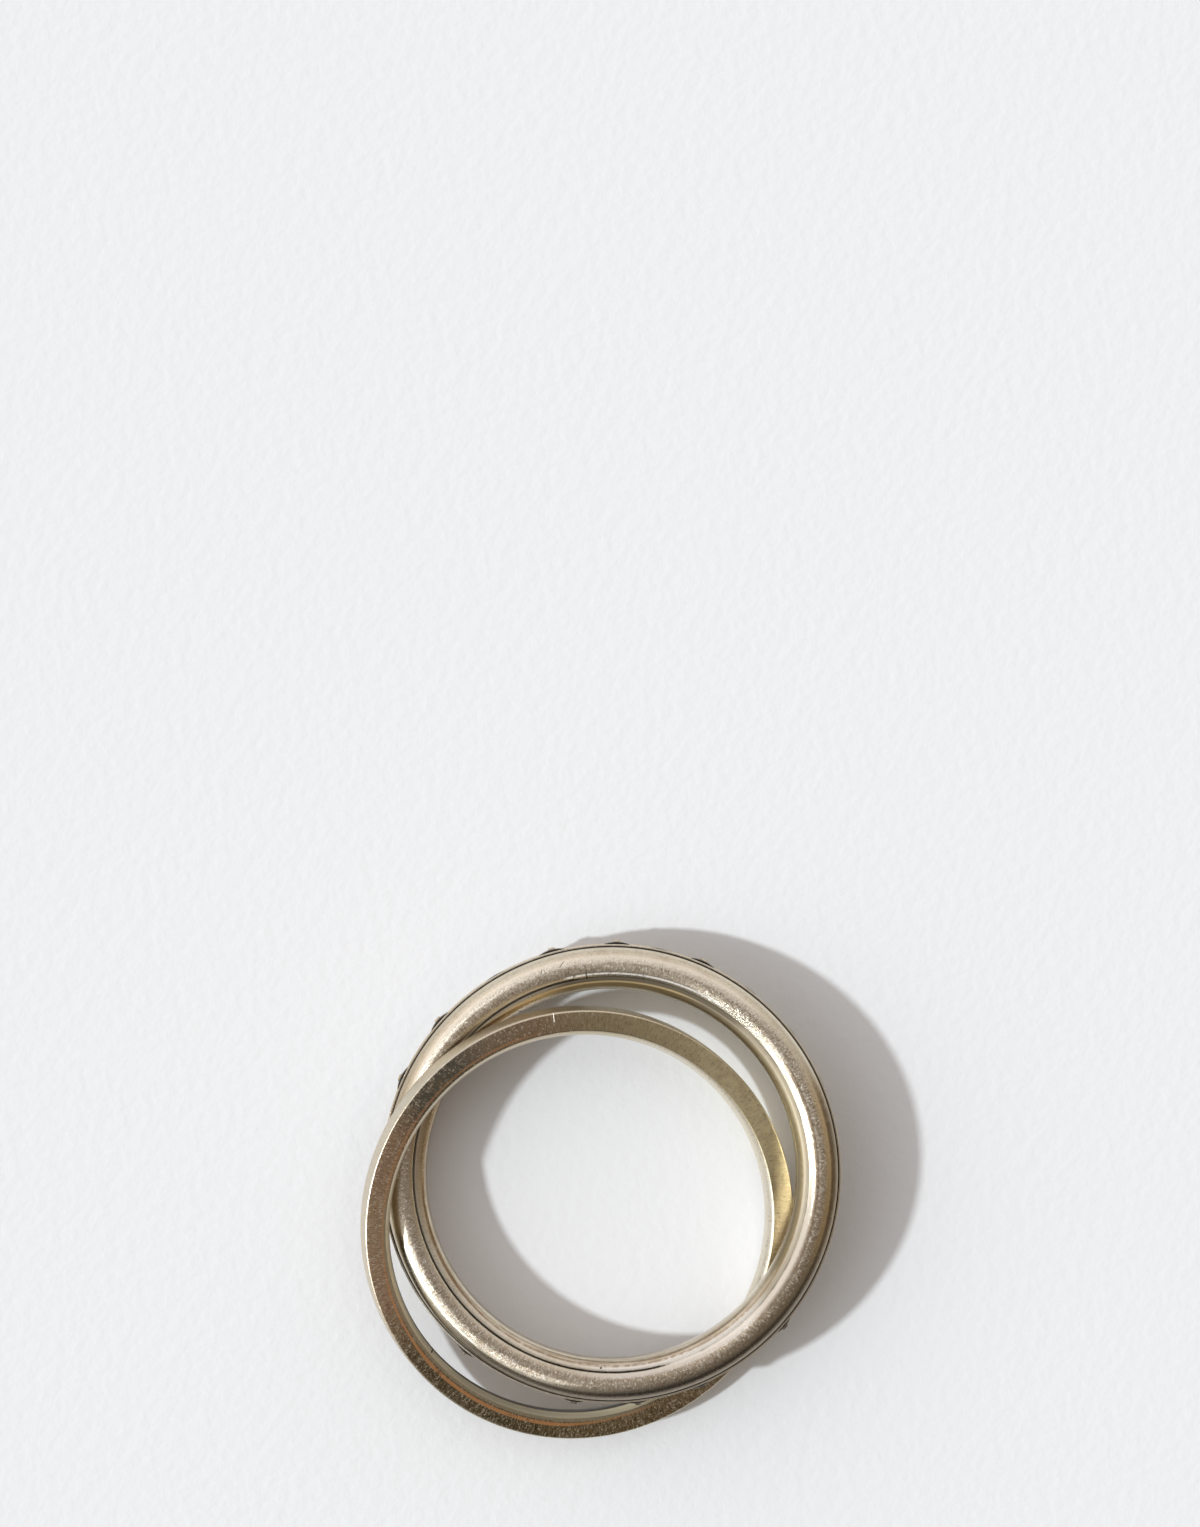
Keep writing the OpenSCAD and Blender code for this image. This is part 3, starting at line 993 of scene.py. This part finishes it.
def paper():
    """White, matt paper with a faint grain."""
    m = Graph(bpy.data.materials.new("white_paper"))
    place = m.node("TexCoord", output="Object")
    fibres = m.node("TexNoise", None, {"Vector": place, "Scale": FIBRES_PER_M, "Detail": 5})
    bump = m.node("Bump", None, {"Strength": BUMP_STRENGTH, "Distance": MM,
                                 "Height": fibres * FIBRE_HEIGHT})
    shader = m.node("BsdfPrincipled", None, {"Base Color": rgb(0.86, 0.86, 0.86), "Roughness": 0.95,
                                             "Specular IOR Level": 0.1, "Normal": bump})
    m.node("OutputMaterial", None, {"Surface": shader})
    return m.owner


half = FLOOR_SIDE / 2
floor_mesh = bpy.data.meshes.new("paper_floor")
floor_mesh.from_pydata([(-half, -half, 0), (half, -half, 0), (half, half, 0), (-half, half, 0)],
                       [], [(0, 1, 2, 3)])
floor = bpy.data.objects.new("paper_floor", floor_mesh)
bpy.context.scene.collection.objects.link(floor)
floor_mesh.materials.append(paper())
print("paper", FLOOR_SIDE, "m wide")

# %% [markdown]
# Light and camera are placed as the photo shows them. The photo looks almost
# straight down, with its right-hand side 55.7 degrees clockwise from the model's
# +X. One helper turns right, up in the picture and towards the camera into a
# direction of the model, so that the rest is told in the photo's words.

# %% Directions of the photo
def photo_way(right, up, towards):
    """A direction given by the photo's right, its up and the height above the floor."""
    turn = math.radians(PHOTO_TURN)
    return Vector((right * math.cos(turn) + up * math.sin(turn),
                   up * math.cos(turn) - right * math.sin(turn), towards))


print("the photo's right is", [round(x, 3) for x in photo_way(1, 0, 0)])

# %% [markdown]
# The camera hangs 0.73 m above the paper, over a point beyond the photo's upper left
# corner, and looks down at the picture's middle. Straight down would be simpler, but
# a tilt of a few degrees already moves one ring's outline over the other's. The
# point and the height are kept in the photo's pixels, where they were fitted to the
# outlines and the shadows, and one scale turns them into millimetres.

# %% The camera
PIXELS_PER_MM = 19.9
ORIGIN_PX = (596.3, 1190.2)
PHOTO_SIZE = (1200, 1527)
NADIR_PX = (-482, -181)
DISTANCE_PX = 14463
NEAREST, FURTHEST = 0.01, 5


def on_floor(px):
    """The floor point under a pixel of the photo."""
    return photo_way((px[0] - ORIGIN_PX[0]) / PIXELS_PER_MM * MM,
                     (ORIGIN_PX[1] - px[1]) / PIXELS_PER_MM * MM, 0)


eye = on_floor(NADIR_PX) + Vector((0, 0, DISTANCE_PX / PIXELS_PER_MM * MM))
target = on_floor((PHOTO_SIZE[0] / 2, PHOTO_SIZE[1] / 2))
back = (eye - target).normalized()
right = photo_way(1, 0, 0)
right = (right - right.dot(back) * back).normalized()
up = back.cross(right)
camera_data = bpy.data.cameras.new("photo_camera")
camera = bpy.data.objects.new("photo_camera", camera_data)
bpy.context.scene.collection.objects.link(camera)
camera.matrix_world = Matrix.Translation(eye) @ Matrix((right, up, back)).transposed().to_4x4()
seen = PHOTO_SIZE[1] / PIXELS_PER_MM * MM
camera_data.sensor_fit = "AUTO"
camera_data.lens = camera_data.sensor_width * (eye - target).length / seen
camera_data.clip_start, camera_data.clip_end = NEAREST, FURTHEST
bpy.context.scene.camera = camera
print("camera", [round(x / MM, 1) for x in eye], "mm, lens", round(camera_data.lens, 1))

# %% [markdown]
# The key lamp stands to the photo's left, 41 degrees above the paper, and throws the
# shadow to the right. A sun lamp gives the even, parallel shadow that the photo has.
# Its small angle softens the shadow's edge as in the photo.

# %% The key lamp
LAMP_SIDE = (-0.977, -0.211)
KEY_ELEVATION, KEY_ANGLE = 41.0, 3.5
KEY_STRENGTH, KEY_COLOUR = 2.25, (0.88, 0.945, 1.0)


def from_lamp_side(elevation):
    """The direction to the lamp's side of the photo, at an angle above the floor."""
    return photo_way(*LAMP_SIDE, math.tan(math.radians(elevation))).normalized()


key_data = bpy.data.lights.new("key_lamp", "SUN")
key_data.energy = KEY_STRENGTH
key_data.angle = math.radians(KEY_ANGLE)
key_data.color = KEY_COLOUR
key = bpy.data.objects.new("key_lamp", key_data)
key.rotation_mode = "QUATERNION"
key.rotation_quaternion = from_lamp_side(KEY_ELEVATION).to_track_quat("Z", "Y")
bpy.context.scene.collection.objects.link(key)
print("key lamp towards", [round(x, 3) for x in from_lamp_side(KEY_ELEVATION)])

# %% [markdown]
# Polished metal shows its surroundings, so the surround isn't one flat grey. Two
# rings of colours, a low one and a high one, run round the horizon: bright beyond
# the top and the upper left of the picture, and dim and warm on its right and at the
# bottom. Overhead it is dim too, and round the lamp a soft glow makes the broad
# highlights. An even grey would be simpler, but both rings would look like grey
# plastic, and each tone here can be set beside its reflection in the photo.

# %% Tones of the surround
LOW_ROUND = ((-180, (0.95, 0.94, 0.90)), (-150, (0.62, 0.61, 0.57)), (-120, (0.36, 0.33, 0.30)),
             (-90, (0.09, 0.085, 0.08)), (-60, (0.10, 0.09, 0.08)), (-30, (0.19, 0.16, 0.13)),
             (0, (0.44, 0.36, 0.26)), (30, (0.66, 0.60, 0.54)), (60, (1.08, 1.04, 1.04)),
             (90, (0.98, 0.93, 0.92)), (120, (1.20, 1.15, 1.15)), (150, (1.50, 1.46, 1.48)),
             (180, (0.95, 0.94, 0.90)))
HIGH_ROUND = ((-180, (0.62, 0.62, 0.62)), (-150, (0.58, 0.58, 0.58)), (-120, (0.84, 0.84, 0.84)),
              (-90, (0.38, 0.34, 0.30)), (-60, (0.30, 0.26, 0.23)), (-30, (0.30, 0.25, 0.21)),
              (0, (0.30, 0.25, 0.21)), (30, (0.50, 0.46, 0.42)), (60, (1.02, 0.99, 1.00)),
              (90, (1.12, 1.10, 1.13)), (120, (1.22, 1.21, 1.27)), (150, (1.05, 1.04, 1.08)),
              (180, (0.62, 0.62, 0.62)))
ZENITH = rgb(0.38, 0.345, 0.325)
HORIZON = rgb(0.12, 0.09, 0.06)
GLOW = rgb(1.5, 1.5, 1.5)
GLOW_ELEVATION, GLOW_ANGLE = 35.0, 34
# The heights, as sines, between which one layer gives way to the next
HORIZON_FADE, HIGH_FADE, ZENITH_FADE = (0.0, 0.1), (0.62, 0.86), (0.87, 0.985)
SURROUND_STRENGTH = 0.85

print(len(LOW_ROUND), "low tones and", len(HIGH_ROUND), "high ones")

# %% [markdown]
# The surround is a graph too, on the direction that a ray leaves in. Dot products
# tell how far it points to the photo's right, to its top and up, and how close it
# comes to the lamp. The two rings of colours are mixed first, and then what is
# overhead, the horizon and the glow are laid over them.

# %% The surround
world = Graph(bpy.data.worlds.new("studio"))
bpy.context.scene.world = world.owner
way = world.node("TexCoord", output="Generated")


def along(direction):
    """How far the direction looked in points along another."""
    return world.node("VectorMath", {"operation": "DOT_PRODUCT"}, {0: way, 1: direction},
                      output="Value")


azimuth = world.maths("ARCTAN2", along(photo_way(0, 1, 0)), along(photo_way(1, 0, 0)))
compass = azimuth / (2 * math.pi) + 0.5
low, high = [world.node("ValToRGB", {"stops": [(0.5 + angle / 360, tone) for angle, tone in tones]},
                        {0: compass}) for tones in (LOW_ROUND, HIGH_ROUND)]
up_there = along(Vector((0, 0, 1)))
shell = world.blend(world.rise(up_there, *HIGH_FADE), low, high)
shell = world.blend(world.rise(up_there, *ZENITH_FADE), shell, ZENITH)
shell = world.blend(world.rise(up_there, *HORIZON_FADE), HORIZON, shell)
near_lamp = world.rise(along(from_lamp_side(GLOW_ELEVATION)), math.cos(math.radians(GLOW_ANGLE)), 1.0)
shell = world.blend(near_lamp, shell, GLOW)
background = world.node("Background", None, {"Color": shell, "Strength": SURROUND_STRENGTH})
world.node("OutputWorld", None, {"Surface": background})
bpy.context.scene.view_settings.view_transform = "Standard"
bpy.context.scene.view_settings.look = "None"
print("surround:", len(world.tree.nodes), "nodes")
